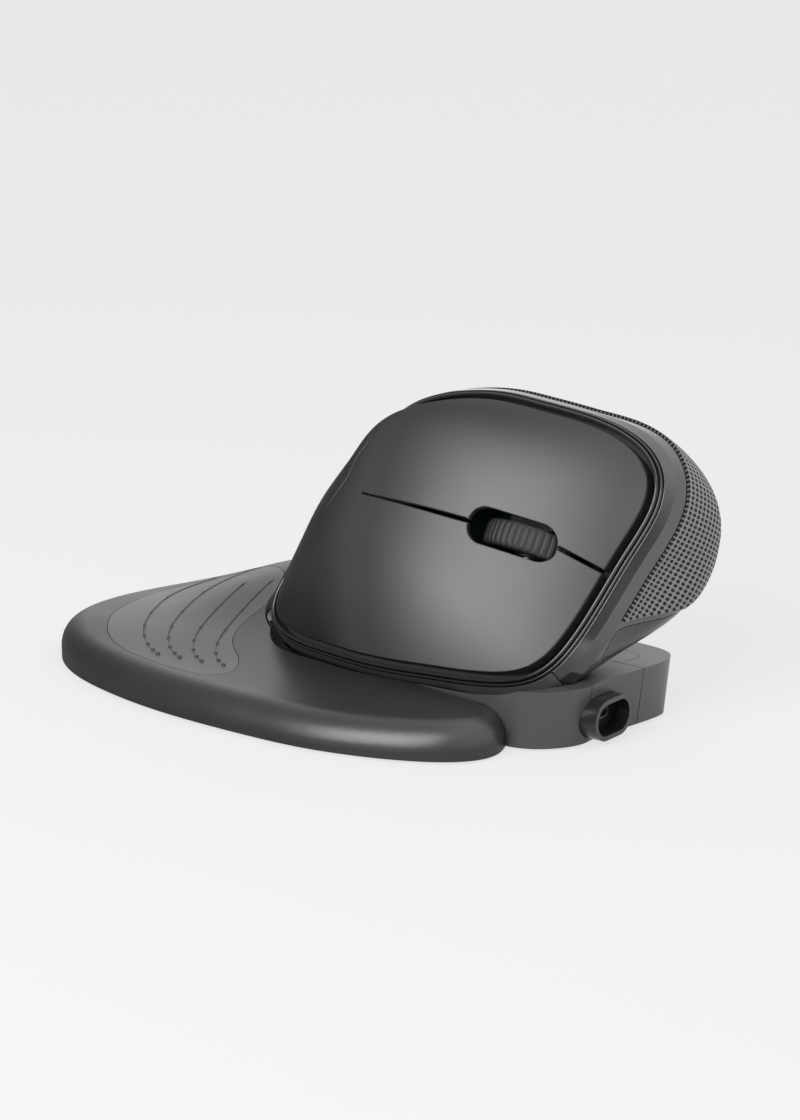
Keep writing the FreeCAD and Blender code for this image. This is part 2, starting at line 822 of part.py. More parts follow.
def make_base(envelope):
    """Base housing with its screw bosses, front panel, thumb shelf and magnets."""
    floor = foot_height
    outer = base_solid(0, floor, base_height)
    hollow = base_solid(-base_wall, floor - 1, base_height - base_wall)
    body = outer.cut(hollow).fuse(screw_bosses())
    for x, y in screw_spots:
        body = body.cut(post(screw_radius + screw_gap / 2, x, y, -far, floor + screw_head_height
                             + screw_length + screw_gap))
    body = body.cut(envelope).cut(port_shape(port_gap, port_rear - 16, far))
    body = largest(body)
    front = block(panel_rear_x, far, -far, far, -far, far)
    panel = block(panel_rear_x, far, panel_y[0], panel_y[1], -far, far)
    hole = block(panel_rear_x, far, panel_y[0] - part_seam, panel_y[1] + part_seam, -far, far)
    parts["port_panel"] = largest(body.common(panel).common(front))
    body = body.cut(hole)
    shelf = prism(shelf_outline, base_height - shelf_thickness - 0.05, base_height + 0.01)
    parts["thumb_shelf"] = prism(offset_outline(shelf_outline, -plate_gap),
                                 base_height - shelf_thickness, base_height).cut(envelope)
    parts["base_body"] = largest(body.cut(shelf))
    parts["base_magnets"] = Part.makeCompound(
        magnet_blocks(-base_wall - magnet_cover, 1, 0))


def make_base_plate():
    """Underside plate with its screws, glide feet and holes for sensor and knob."""
    floor = foot_height
    plate = base_solid(-base_wall - plate_gap, floor, floor + base_plate_thickness)
    plate = plate.cut(post(lens_radius + lens_gap, sensor_x, sensor_y, -far, far))
    slot = rounded_slab(knob_length + knob_travel + 2 * knob_gap, knob_width + 2 * knob_gap,
                        far, -far, far)
    slot.translate(V(knob_x, sensor_y, 0))
    plate = plate.cut(slot)
    screws = []
    for x, y in screw_spots:
        plate = plate.cut(post(screw_radius + screw_gap, x, y, -far, far))
        seat = floor + screw_gap + screw_head_height
        plate = plate.cut(post(screw_head_radius + screw_gap, x, y, -far, seat))
        head = post(screw_head_radius, x, y, floor + screw_gap / 2, seat - screw_gap / 2)
        screws.append(head.fuse(post(screw_radius, x, y, floor + screw_gap / 2,
                                     floor + screw_head_height + screw_length)))
    parts["base_plate"] = plate
    parts["base_screws"] = Part.makeCompound(screws)
    skates = []
    for x, y, long in glide_spots:
        skate = rounded_slab(glide_width, long, far, 0, floor - foot_bond)
        skate.translate(V(x, y, 0))
        skates.append(skate)
    parts["glide_feet"] = Part.makeCompound(skates)


def make_base_inside():
    """Base board at the plug's height, sensor and lens, and the power knob."""
    floor = foot_height
    board_top = port_z - plug_height / 2
    board_low = board_top - base_board_thickness
    neck = post(lens_neck_radius + lens_gap, sensor_x, sensor_y, -far, far)
    parts["base_board"] = block(base_board_x[0], base_board_x[1], -base_board_y, base_board_y,
                                board_low, board_top).cut(neck)
    lens = post(lens_radius, sensor_x, sensor_y, floor + lens_gap, board_low - 0.1)
    lens = lens.fuse(post(lens_neck_radius, sensor_x, sensor_y, floor + 1, board_top + 0.1))
    parts["sensor_lens"] = lens
    half = chip_size / 2
    parts["sensor_chip"] = block(sensor_x - half, sensor_x + half, sensor_y - half,
                                 sensor_y + half, board_top + 0.2, board_top + 0.2 + chip_height)
    knob_centre = knob_x - knob_travel / 2
    knob_top = floor + base_plate_thickness + knob_proud
    knob = rounded_slab(knob_length, knob_width, far, floor + 0.1, knob_top)
    knob.translate(V(knob_centre, sensor_y, 0))
    half = knob_width / 2
    stem = block(knob_centre - half, knob_centre + half, sensor_y - half, sensor_y + half,
                 floor + base_plate_thickness, board_low - 0.2)
    parts["power_knob"] = knob.fuse(stem).removeSplitter()


def make_port():
    """Port collar with the metal plug shell and its tongue."""
    collar = port_shape(0, port_rear, port_front)
    collar = collar.cut(port_shape(-port_wall, port_rear + port_floor, far))

    def plug_block(grow, x0, x1, width=plug_width, height=plug_height):
        return block(x0, x1, port_y - width / 2 - grow, port_y + width / 2 + grow,
                     port_z - height / 2 - grow, port_z + height / 2 + grow)

    parts["port_collar"] = collar.cut(plug_block(plug_gap, port_rear - 5, far))
    start = plug_front - plug_depth
    shell = plug_block(0, start, plug_front)
    parts["plug_shell"] = shell.cut(plug_block(-plug_wall, start + plug_wall, far))
    parts["plug_tongue"] = plug_block(0, start + plug_wall, plug_front - tongue_setback,
                                      tongue_width, tongue_height)


def rest_height(x, y):
    """Top of the palm rest: low at its outer edge, swelling towards the mouse."""
    hump = math.exp(-((x - rest_hump_x) / rest_hump_spread_x) ** 2
                    - ((y - rest_hump_y) / rest_hump_spread_y) ** 2)
    return rest_edge_height + rest_slope * smooth(y, *rest_slope_y) + rest_hump * hump


def make_palm_rest(envelope):
    """Palm rest with its inset pad, magnets, underside plate and rubber feet."""
    floor = foot_height
    x_range = span_of([x for x, y in rest_outline], 8)
    y_range = span_of([y for x, y in rest_outline], 8)

    def under(drop):
        return solid_below(lambda x, y: rest_height(x, y) - drop, x_range, y_range, 14, 12)

    body = prism(rest_outline, floor, far).common(under(0))
    top_edges = [e for e in body.Edges if e.BoundBox.ZMin > floor + 3 and e.Length > 60]
    body = body.makeFillet(rest_edge_radius, top_edges)
    body = largest(body.cut(base_solid(rest_gap, floor - 1, base_height + 10)).cut(envelope))
    pad = prism(offset_outline(pad_outline, -plate_gap), 0, far).cut(under(pad_thickness))
    parts["rest_pad"] = body.common(pad)
    body = body.cut(prism(pad_outline, 0, far).cut(under(pad_thickness + 0.1)))
    reach = rest_gap + magnet_cover
    parts["rest_magnets"] = Part.makeCompound(magnet_blocks(reach, -1, 0))
    for socket in magnet_blocks(reach, -1, magnet_gap):
        low = block(socket.BoundBox.XMin, socket.BoundBox.XMax, socket.BoundBox.YMin,
                    socket.BoundBox.YMax, -1, socket.BoundBox.ZMax)
        body = body.cut(low)

    def plate_shape(gap, top):
        edge = offset_outline(rest_outline, -rest_plate_inset + gap)
        shape = prism(edge, floor - 1, top)
        return shape.cut(base_solid(rest_gap + 5 - gap, floor - 2, top + 10))

    plate_top = floor + rest_plate_thickness
    plate = plate_shape(0, plate_top).cut(block(-far, far, -far, far, -far, floor))
    parts["rest_plate"] = largest(plate)
    parts["palm_rest"] = largest(body.cut(plate_shape(rest_plate_gap, plate_top + 0.1)))
    feet = [post(rest_foot_radius, x, y, 0, floor - foot_bond) for x, y in rest_foot_spots]
    parts["rest_feet"] = Part.makeCompound(feet)


make_finger_shell()
make_rim()
make_thumb_body()
make_wheel()
make_chassis()
make_head_board()
make_battery()
make_thumb_switches()
envelope = head_envelope(head_clearance)
make_base(envelope)
make_base_plate()
make_base_inside()
make_port()
make_palm_rest(envelope)

os.makedirs("parts", exist_ok=True)
corners = []
for shape in parts.values():
    corners += shape.tessellate(0.05)[0]
middle_x = (min(p.x for p in corners) + max(p.x for p in corners)) / 2
middle_y = (min(p.y for p in corners) + max(p.y for p in corners)) / 2
print("centre of the footprint", round(middle_x, 3), round(middle_y, 3))
for name, shape in parts.items():
    placed = shape.copy()
    placed.translate(V(-middle_x, -middle_y, 0))
    print(name, shape.isValid(), len(shape.Solids), round(shape.Volume, 1))
    placed.exportStep("parts/" + name + ".step")
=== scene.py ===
import bpy
import math
import numpy as np
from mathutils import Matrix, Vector


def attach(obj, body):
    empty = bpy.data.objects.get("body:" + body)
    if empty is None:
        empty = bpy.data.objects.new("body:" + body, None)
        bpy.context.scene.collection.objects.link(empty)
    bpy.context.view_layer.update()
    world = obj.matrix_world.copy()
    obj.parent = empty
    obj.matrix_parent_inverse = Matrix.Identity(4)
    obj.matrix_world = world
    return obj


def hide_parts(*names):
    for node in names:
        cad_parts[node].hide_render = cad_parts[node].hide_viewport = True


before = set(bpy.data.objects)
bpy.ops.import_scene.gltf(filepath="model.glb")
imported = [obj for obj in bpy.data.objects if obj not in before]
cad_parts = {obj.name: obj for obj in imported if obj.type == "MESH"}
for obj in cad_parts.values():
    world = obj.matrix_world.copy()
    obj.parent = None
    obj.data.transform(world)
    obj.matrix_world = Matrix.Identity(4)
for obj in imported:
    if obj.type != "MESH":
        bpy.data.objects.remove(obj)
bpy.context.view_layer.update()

# Camera. It looks at the finger side and the front of the mouse, 38 degrees round and 15 degrees
# up, from 62 cm away, through a long lens.
look_at = Vector((0.010919, 0.001996, 0.033))
around, above = math.radians(38), math.radians(15)
distance = 0.62
sensor_width = 36
photo_height, focal_pixels = 1120, 2600
to_camera = Vector((math.sin(around) * math.cos(above), -math.cos(around) * math.cos(above),
                    math.sin(above)))
camera_data = bpy.data.cameras.new("camera")
camera_data.sensor_width = sensor_width
camera_data.lens = sensor_width * focal_pixels / photo_height
camera = bpy.data.objects.new("camera", camera_data)
camera.location = look_at + to_camera * distance
camera.rotation_mode = "QUATERNION"
camera.rotation_quaternion = (-to_camera).to_track_quat("-Z", "Y")
bpy.context.scene.collection.objects.link(camera)
bpy.context.scene.camera = camera
bpy.context.scene.view_settings.view_transform = "Standard"


# Table: a sheet of matt paper that reads as an even pale grey, and keeps a soft shadow under the
# mouse. In gloss it looks dark on the camera's left, and pale on its right.
def add(tree, kind, inputs=None, **settings):
    """One shader node with its settings, and its inputs as plain values or as links."""
    node = tree.nodes.new(kind)
    for key, value in settings.items():
        setattr(node, key, value)
    for key, value in (inputs or {}).items():
        if isinstance(value, bpy.types.NodeSocket):
            tree.links.new(value, node.inputs[key])
        else:
            node.inputs[key].default_value = value
    return node


def ramp(tree, value, low, high, start, end):
    """A value that eases from start to end while another goes from low to high."""
    inputs = {"Value": value, "From Min": low, "From Max": high, "To Min": start, "To Max": end}
    return add(tree, "ShaderNodeMapRange", inputs, interpolation_type="SMOOTHSTEP").outputs[0]


def along(tree, place, direction):
    """How far a place lies in a direction."""
    node = add(tree, "ShaderNodeVectorMath", {0: place, 1: direction}, operation="DOT_PRODUCT")
    return node.outputs["Value"]


def math_node(tree, operation, *inputs, clamp=False):
    """The output of one sum, product or the like."""
    node = add(tree, "ShaderNodeMath", dict(enumerate(inputs)), operation=operation, use_clamp=clamp)
    return node.outputs[0]


paper_seen, paper_mirrored, paper_level = 0.84, 0.9, 0.83
paper = bpy.data.materials.new("pale_paper")
paper.use_nodes = True
tree = paper.node_tree
tree.nodes.clear()
ray = add(tree, "ShaderNodeLightPath").outputs
seen = math_node(tree, "ADD", ray["Is Camera Ray"], ray["Is Transmission Ray"])
glowing = math_node(tree, "MULTIPLY", seen, paper_seen, clamp=True)
glowing = math_node(tree, "MULTIPLY_ADD", ray["Is Glossy Ray"], paper_mirrored, glowing, clamp=True)
on_paper = add(tree, "ShaderNodeTexCoord").outputs["Object"]
mirrored = ramp(tree, along(tree, on_paper, (0.85, 0.52, 0.0)), -0.02, 0.16, 0.12, 1.7)
strength = add(tree, "ShaderNodeMix", {0: ray["Is Glossy Ray"], 2: paper_level, 3: mirrored}).outputs[0]
glow = add(tree, "ShaderNodeEmission", {"Color": (1, 1, 0.985, 1), "Strength": strength})
matt = add(tree, "ShaderNodeBsdfDiffuse", {"Color": (0.62, 0.62, 0.61, 1)})
both = add(tree, "ShaderNodeMixShader", {0: glowing, 1: matt.outputs[0], 2: glow.outputs[0]})
add(tree, "ShaderNodeOutputMaterial", {"Surface": both.outputs[0]})
sweep_mesh = bpy.data.meshes.new("sweep")
sweep_mesh.from_pydata([(-3, -3, 0), (3, -3, 0), (3, 3, 0), (-3, 3, 0)], [], [(0, 1, 2, 3)])
sweep_mesh.materials.append(paper)
sweep = bpy.data.objects.new("sweep", sweep_mesh)
bpy.context.scene.collection.objects.link(sweep)

# Studio light: one large softbox that faces the finger shell from in front and above. The room is
# pale beyond the mouse, overhead and on the camera's right, and dark on its left and behind it.
world = bpy.data.worlds.new("room")
bpy.context.scene.world = world
world.use_nodes = True
tree = world.node_tree
tree.nodes.clear()
toward = add(tree, "ShaderNodeTexCoord").outputs["Generated"]
pale = ramp(tree, along(tree, toward, (0.6, 0.8, 0.0)), -0.4, 0.35, 0.12, 1.6)
upward = add(tree, "ShaderNodeSeparateXYZ", {0: toward}).outputs["Z"]
bright = math_node(tree, "ADD", pale, ramp(tree, upward, 0.5, 0.95, 0.0, 0.5))
camera_ray = add(tree, "ShaderNodeLightPath").outputs["Is Camera Ray"]
strength = add(tree, "ShaderNodeMix", {0: camera_ray, 2: bright, 3: 0.85}).outputs[0]
room = add(tree, "ShaderNodeBackground", {"Color": (1, 1, 0.99, 1), "Strength": strength})
add(tree, "ShaderNodeOutputWorld", {"Surface": room.outputs[0]})
softbox_side, softbox_away = 0.6, 0.8
softbox = bpy.data.lights.new("softbox", "AREA")
softbox.shape = "RECTANGLE"
softbox.size, softbox.size_y = softbox_side, softbox_side
softbox.energy = 11.5
lamp = bpy.data.objects.new("softbox", softbox)
to_softbox = Vector((0.08, -0.886, 0.457))
lamp.location = look_at + to_softbox * softbox_away
lamp.rotation_mode = "QUATERNION"
lamp.rotation_quaternion = to_softbox.to_track_quat("Z", "Y")
bpy.context.scene.collection.objects.link(lamp)


# Base: a low moulded housing with a floor plate, front panel and thumb shelf, in matt plastic. Its
# walls lean outward a little, and it stands on slippery glide pads and is closed by screws.
def start_group(name, inputs, outputs):
    """An empty node group with named sockets, and its input and output sockets."""
    group = bpy.data.node_groups.new(name, "ShaderNodeTree")
    for title, kind, value in inputs:
        socket = group.interface.new_socket(title, in_out="INPUT", socket_type="NodeSocket" + kind)
        socket.default_value = value
    for title, kind in outputs:
        group.interface.new_socket(title, in_out="OUTPUT", socket_type="NodeSocket" + kind)
    return group, group.nodes.new("NodeGroupInput").outputs, group.nodes.new("NodeGroupOutput").inputs


grain_group, given, result = start_group(
    "moulded_grain",
    [("Colour", "Color", (0.02, 0.02, 0.02, 1)), ("Roughness", "Float", 0.45),
     ("Grain size", "Float", 0.0003), ("Grain depth", "Float", 0.00001), ("Mottle", "Float", 0.15)],
    [("Colour", "Color"), ("Roughness", "Float"), ("Normal", "Vector")])
mottle_pitch, speck_share = 70.0, 0.12
on_piece = add(grain_group, "ShaderNodeTexCoord").outputs["Object"]
pitch = math_node(grain_group, "DIVIDE", 1.0, given["Grain size"])
specks = add(grain_group, "ShaderNodeTexNoise", {"Vector": on_piece, "Scale": pitch, "Detail": 2.0})
fine = specks.outputs["Fac"]
broad = add(grain_group, "ShaderNodeTexNoise", {"Vector": on_piece, "Scale": mottle_pitch, "Detail": 4.0})
centred = math_node(grain_group, "SUBTRACT", broad.outputs["Fac"], 0.5)
drift = math_node(grain_group, "MULTIPLY", centred, given["Mottle"])
speck = math_node(grain_group, "MULTIPLY_ADD", fine, speck_share, 1 - speck_share / 2)
tone = math_node(grain_group, "ADD", speck, drift)
shaded = add(grain_group, "ShaderNodeVectorMath", {0: given["Colour"], "Scale": tone}, operation="SCALE")
rough = math_node(grain_group, "ADD", drift, given["Roughness"])
bump = add(grain_group, "ShaderNodeBump", {"Height": fine, "Distance": given["Grain depth"]})
for title, value in (("Colour", shaded.outputs[0]), ("Roughness", rough), ("Normal", bump.outputs[0])):
    grain_group.links.new(value, result[title])


def moulded(name, colour, roughness, size=0.0003, depth=0.00001, mottle=0.12, **shader):
    """Plastic, rubber or metal with a fine grain, a slight mottle and its own shader values."""
    material = bpy.data.materials.new(name)
    material.use_nodes = True
    tree = material.node_tree
    skin = tree.nodes["Principled BSDF"]
    grain = add(tree, "ShaderNodeGroup", node_tree=grain_group)
    for title, value in (("Colour", (*colour, 1)), ("Roughness", roughness), ("Grain size", size),
                         ("Grain depth", depth), ("Mottle", mottle)):
        grain.inputs[title].default_value = value
    for output, target in (("Colour", "Base Color"), ("Roughness", "Roughness"), ("Normal", "Normal")):
        tree.links.new(grain.outputs[output], skin.inputs[target])
    for title, value in shader.items():
        skin.inputs[title.replace("_", " ")].default_value = value
    return material


def dress(material, *nodes):
    """Give CAD nodes a finish, through the material slots of their objects."""
    for node in nodes:
        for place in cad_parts[node].material_slots:
            place.material = material


base_plastic = moulded("base_plastic", (0.035, 0.035, 0.036), 0.4, size=0.0004, depth=0.000012)
dress(base_plastic, "base_body", "port_panel", "thumb_shelf", "rest_plate", "base_plate")
glide_film = moulded("glide_film", (0.06, 0.06, 0.06), 0.3, size=0.0008, depth=0.000004)
dress(glide_film, "glide_feet")
screw_steel = moulded("screw_steel", (0.42, 0.42, 0.43), 0.32, size=0.0002, depth=0.000003, Metallic=1.0)
dress(screw_steel, "base_screws", "wheel_axle")

# Boards, switches and sensor: bought-in parts inside the base and the head. The boards have a dark
# green mask, the switches and the chip black resin cases, and the sensor a clear moulded lens.
board_mask = moulded("board_mask", (0.006, 0.028, 0.012), 0.4, size=0.0015, depth=0.00001)
dress(board_mask, "base_board", "head_board", "side_board")
chip_epoxy = moulded("chip_epoxy", (0.015, 0.015, 0.016), 0.55, size=0.0002)
dress(chip_epoxy, "sensor_chip", "left_switch", "right_switch", "side_switches", "wheel_click_switch",
      "wheel_encoder")
lens_acrylic = moulded("lens_acrylic", (0.8, 0.85, 0.86), 0.08, mottle=0.0, depth=0.0,
                       Transmission_Weight=0.9)
dress(lens_acrylic, "sensor_lens")

# Power knob and magnets: a small slider under the base, and plated discs that are pressed into the
# base and the palm rest and hold the two together.
knob_plastic = moulded("knob_plastic", (0.09, 0.09, 0.09), 0.42)
dress(knob_plastic, "power_knob")
magnet_plate = moulded("magnet_plate", (0.5, 0.5, 0.5), 0.28, size=0.0006, Metallic=1.0)
dress(magnet_plate, "base_magnets", "rest_magnets")

# Charging port: a round-ended moulded collar on the front wall, with a steel receptacle and its
# tongue at the back of it.
collar_plastic = moulded("collar_plastic", (0.008, 0.008, 0.008), 0.22)
dress(collar_plastic, "port_collar")
plug_steel = moulded("plug_steel", (0.55, 0.55, 0.56), 0.26, size=0.0002, depth=0.000002, Metallic=1.0)
dress(plug_steel, "plug_shell")
tongue_resin = moulded("tongue_resin", (0.02, 0.02, 0.02), 0.4)
dress(tongue_resin, "plug_tongue")

# Thumb body: a hollow matt shell that swells from the frame to the thumb side, moulded in one. It
# carries the grip skin, the rubber thumb pad, the window plate and the two thumb buttons.
body_plastic = moulded("body_plastic", (0.05, 0.05, 0.05), 0.34, size=0.00035, depth=0.000008)
dress(body_plastic, "thumb_shell")
key_plastic = moulded("key_plastic", (0.016, 0.016, 0.017), 0.32, size=0.0003, depth=0.000005)
dress(key_plastic, "forward_button", "back_button", "front_window")
thumb_rubber = moulded("thumb_rubber", (0.02, 0.02, 0.02), 0.62, size=0.0006, depth=0.00003)
dress(thumb_rubber, "thumb_pad")


# Grip skin: a soft rubber sheet let into the front and top of the thumb body, with a fine even
# grid of small holes. It is bonded down, and a hairline seam runs round it.
def spline_through(points, t):
    """Place and direction on a smooth closed line through points, t counting the points.

    The line is a uniform periodic cubic, and one cyclic system gives its control points."""
    points = np.array(points, float)
    count = len(points)
    beside = np.roll(np.eye(count), 1, axis=0)
    control = np.linalg.solve(np.eye(count) * 4 / 6 + (beside + beside.T) / 6, points)
    t = np.mod(t, count)
    first = t.astype(int)
    f = (t - first)[:, None]
    a, b, c, d = (control[(first + k - 1) % count] for k in range(4))
    spot = ((1 - f) ** 3 * a + (3 * f**3 - 6 * f**2 + 4) * b + (-3 * f**3 + 3 * f**2 + 3 * f + 1) * c
            + f**3 * d) / 6
    heading = (-(1 - f) ** 2 * a + (3 * f**2 - 4 * f) * b + (-3 * f**2 + 2 * f + 1) * c + f**2 * d) / 2
    return spot, heading


def outline_at(points, t):
    """Places on a smooth closed outline and the outward normals there, square to its heading."""
    spot, heading = spline_through(points, t)
    ring = np.array(points, float)
    after = np.roll(ring, -1, axis=0)
    turning = np.sign((ring[:, 0] * after[:, 1] - after[:, 0] * ring[:, 1]).sum())
    outward = turning * np.stack([heading[:, 1], -heading[:, 0]], -1)
    return spot, outward / np.linalg.norm(outward, axis=1, keepdims=True)


def smooth(value, low, high):
    """0 below low, 1 above high, and 3 t squared less 2 t cubed between them."""
    t = np.clip((value - low) / (high - low), 0, 1)
    return t * t * (3 - 2 * t)


head_lean = math.radians(62)
head_foot = 27
middle_x, middle_y = 10.919, 6.996


def from_head(p, q, w):
    """Millimetres in the plane of the shell's rim, to metres in the model.

    p runs to the front, q up the plane and w out of it. The plane leans by head_lean, its foot
    is head_foot to the right, and middle_x and middle_y move the footprint's centre to 0."""
    y = -head_foot + q * math.cos(head_lean) - w * math.sin(head_lean)
    z = q * math.sin(head_lean) + w * math.cos(head_lean)
    return np.stack(np.broadcast_arrays(p + middle_x, y + middle_y, z), -1) * 0.001


def to_head(spot):
    """Metres in the model to p, q and w: from_head the other way."""
    y, z = spot[..., 1] * 1000 - middle_y + head_foot, spot[..., 2] * 1000
    q = y * math.cos(head_lean) + z * math.sin(head_lean)
    w = z * math.cos(head_lean) - y * math.sin(head_lean)
    return spot[..., 0] * 1000 - middle_x, q, w


shell_rim = [
    (11, 80.5), (26, 80.2), (41, 78.6), (53, 75.6), (61, 70.3), (63.3, 62), (60, 50.8), (56.3, 39),
    (52.4, 28.5), (46, 20.6), (34, 17.2), (19, 16), (3, 15.2), (-12, 15.8), (-24, 17.4), (-29.3, 23),
    (-26.8, 34), (-21.5, 48), (-14.6, 62.5), (-7, 75)]
rim_count = len(shell_rim)
rim_steps = 2880
body_p, body_q, body_start, body_deep = 14, 60, -7.25, 34
box_power = 2.7
foot_draw = 40


def band_reach(spot):
    """How far the gloss band stands out from the rim: 4.6 mm, and 6.4 mm round the front."""
    return 4.6 + 1.8 * smooth(spot[..., 0] - 0.25 * spot[..., 1], 18, 42)


def body_edge(turn):
    """The rim outline moved out to just inside the band's reach."""
    spot, out = outline_at(shell_rim, np.ravel(turn))
    return (spot + out * (band_reach(spot) - 0.3)[:, None]).reshape(*np.shape(turn), 2)


body_rim = body_edge(np.linspace(0, rim_count, rim_steps, endpoint=False))
body_high, body_low = body_rim.max(0), body_rim.min(0)


def body_surface(u, s):
    """The thumb body, in metres. u goes once round the rim and s from the rim to the thumb side.

    Each section starts as the rim's outline and turns into a rounded box (|x|^n + |y|^n = 1 with
    n = box_power). Its four reaches shrink with s, each as one less a power of s, raised to
    another power. The front one swells a little on the way, and the foot one also draws in by
    foot_draw. A section lies body_deep times s below the first one."""
    edge = body_edge(u * rim_count)
    to_front, to_rear = body_high[0] - body_p, body_p - body_low[0]
    to_top, to_foot = body_high[1] - body_q, body_q - body_low[1]
    x = (edge[..., 0] - body_p) / np.where(edge[..., 0] > body_p, to_front, to_rear)
    y = (edge[..., 1] - body_q) / np.where(edge[..., 1] > body_q, to_top, to_foot)
    angle = np.arctan2(y, x)
    full = (np.abs(np.cos(angle)) ** box_power + np.abs(np.sin(angle)) ** box_power) ** (-1 / box_power)
    mix = smooth(s, 0, 0.5)
    x = x + mix * (full * np.cos(angle) - x)
    y = y + mix * (full * np.sin(angle) - y)
    front = to_front * (1 - s**4.5) ** (1 / 2.2) * (1 + 0.03 * np.sin(3.1 * s))
    rear = to_rear * (1 - s**2.4) ** 0.5
    top = to_top * (1 - s**2) ** 0.5
    foot = (to_foot - foot_draw * s**1.1) * (1 - s**8) ** 0.5
    p = body_p + x * np.where(x > 0, front, rear)
    q = body_q + y * np.where(y > 0, top, foot)
    return from_head(p, q, body_start - body_deep * s)


def body_normal(u, s):
    """Outward normal of the thumb body: the cross product of two small steps over it."""
    step = 0.0005
    across = body_surface(u + step, s) - body_surface(u - step, s)
    down = body_surface(u, np.clip(s + step, 0, 0.9999)) - body_surface(u, np.clip(s - step, 0, 1))
    normal = np.cross(down, across)
    return normal / np.linalg.norm(normal, axis=-1, keepdims=True)


def mesh_object(name, points, faces, material, uv=None):
    """A smooth-shaded mesh from arrays of points in metres and of faces."""
    mesh = bpy.data.meshes.new(name)
    mesh.from_pydata(points.reshape(-1, 3).tolist(), [], [f for group in faces for f in group.tolist()])
    if uv is not None:
        corners = np.zeros(len(mesh.loops), int)
        mesh.loops.foreach_get("vertex_index", corners)
        layer = mesh.uv_layers.new(name="surface")
        layer.uv.foreach_set("vector", uv.reshape(-1, 2)[corners].ravel())
    mesh.polygons.foreach_set("use_smooth", [True] * len(mesh.polygons))
    mesh.materials.append(material)
    mesh.update()
    piece = bpy.data.objects.new(name, mesh)
    bpy.context.scene.collection.objects.link(piece)
    return piece


def grid_faces(rows, columns, start=0, wrap_rows=False, wrap_columns=False):
    """Four-sided faces over a grid whose points are numbered row by row."""
    r = np.arange(rows if wrap_rows else rows - 1)
    c = np.arange(columns if wrap_columns else columns - 1)
    r, c = np.meshgrid(r, c, indexing="ij")
    next_r, next_c = (r + 1) % rows, (c + 1) % columns
    faces = np.stack([r * columns + c, next_r * columns + c,
                      next_r * columns + next_c, r * columns + next_c], -1)
    return faces.reshape(-1, 4) + start


def loop_of(rows, columns):
    """Numbers of a grid's border points, once round, along row 0 first in column order."""
    return np.concatenate([np.arange(columns - 1), np.arange(rows - 1) * columns + columns - 1,
                           (rows - 1) * columns + np.arange(columns - 1, 0, -1),
                           np.arange(rows - 1, 0, -1) * columns])


def unit(vectors):
    """Vectors divided by their own lengths."""
    return vectors / np.maximum(np.linalg.norm(vectors, axis=-1, keepdims=True), 1e-12)


def plate(name, top, normal, material, thick, edge, drop=None, depth=None, uv=None, shade=None):
    """A moulded plate: its face, an edge rounded by a small arc, a wall down and an underside.

    top and normal are grids of points and outward normals in metres. The arc turns from the
    face's normal to the direction square to drop, with its centre edge below the face, so the
    border keeps its place. drop is the wall's direction (into the plate if left out or not a
    number) and depth its length. The underside is the face moved in by thick. shade, if given,
    is a grid of normals that the face is shaded with."""
    arc_steps = 5
    rows, columns = top.shape[:2]
    border = loop_of(rows, columns)
    count = len(border)
    spot = top.reshape(-1, 3)[border]
    up = normal.reshape(-1, 3)[border]
    out = unit(np.cross(unit(np.roll(spot, -1, axis=0) - np.roll(spot, 1, axis=0)), up))
    if ((spot - spot.mean(0)) * out).sum() < 0:
        out = -out
    drop = -up if drop is None else np.where(np.isnan(drop), -up, drop)
    level_out = unit(out - (out * drop).sum(-1, keepdims=True) * drop)
    edge = np.broadcast_to(edge, count)[:, None]
    depth = np.broadcast_to(thick if depth is None else depth, count)[:, None]
    inset = edge * (1 - (up * level_out).sum(-1, keepdims=True)) / (out * level_out).sum(-1, keepdims=True)
    face = top.reshape(-1, 3).copy()
    face[border] = spot - out * inset
    share = np.linspace(0, 1, arc_steps + 1)[1:, None, None]
    arcs = face[border] - up * edge + unit(up * (1 - share) + level_out * share) * edge
    wall = arcs[-1] + drop * (depth - edge)
    under = (top - normal * thick).reshape(-1, 3)
    points = np.concatenate([face, arcs.reshape(-1, 3), wall, under])
    start_under = len(face) + (arc_steps + 1) * count
    edge_rings = len(face) + np.arange((arc_steps + 1) * count).reshape(arc_steps + 1, count)
    rings = np.concatenate([border[None], edge_rings, start_under + border[None]])
    after = np.roll(rings, -1, axis=1)
    sides = np.stack([rings[:-1], rings[1:], after[1:], after[:-1]], -1).reshape(-1, 4)
    quad = points[sides[0]]
    if (np.cross(quad[2] - quad[0], quad[3] - quad[1]) * up[0]).sum() < 0:
        sides = sides[:, ::-1]
    cells = grid_faces(rows, columns)
    if np.sum(np.cross(top[1:, 1:] - top[:-1, 1:], top[1:, 1:] - top[1:, :-1]) * normal[1:, 1:]) <= 0:
        cells = cells[:, ::-1]
    if uv is not None:
        uv = uv.reshape(-1, 2)
        uv = np.concatenate([uv, np.tile(uv[border], (arc_steps + 1, 1)), uv])
    piece = mesh_object(name, points, [cells, sides, cells[:, ::-1] + start_under], material, uv)
    if shade is not None:
        normals = np.zeros((len(points), 3))
        normals[:len(face)] = shade.reshape(-1, 3)
        piece.data.normals_split_custom_set_from_vertices(normals.tolist())
    return piece


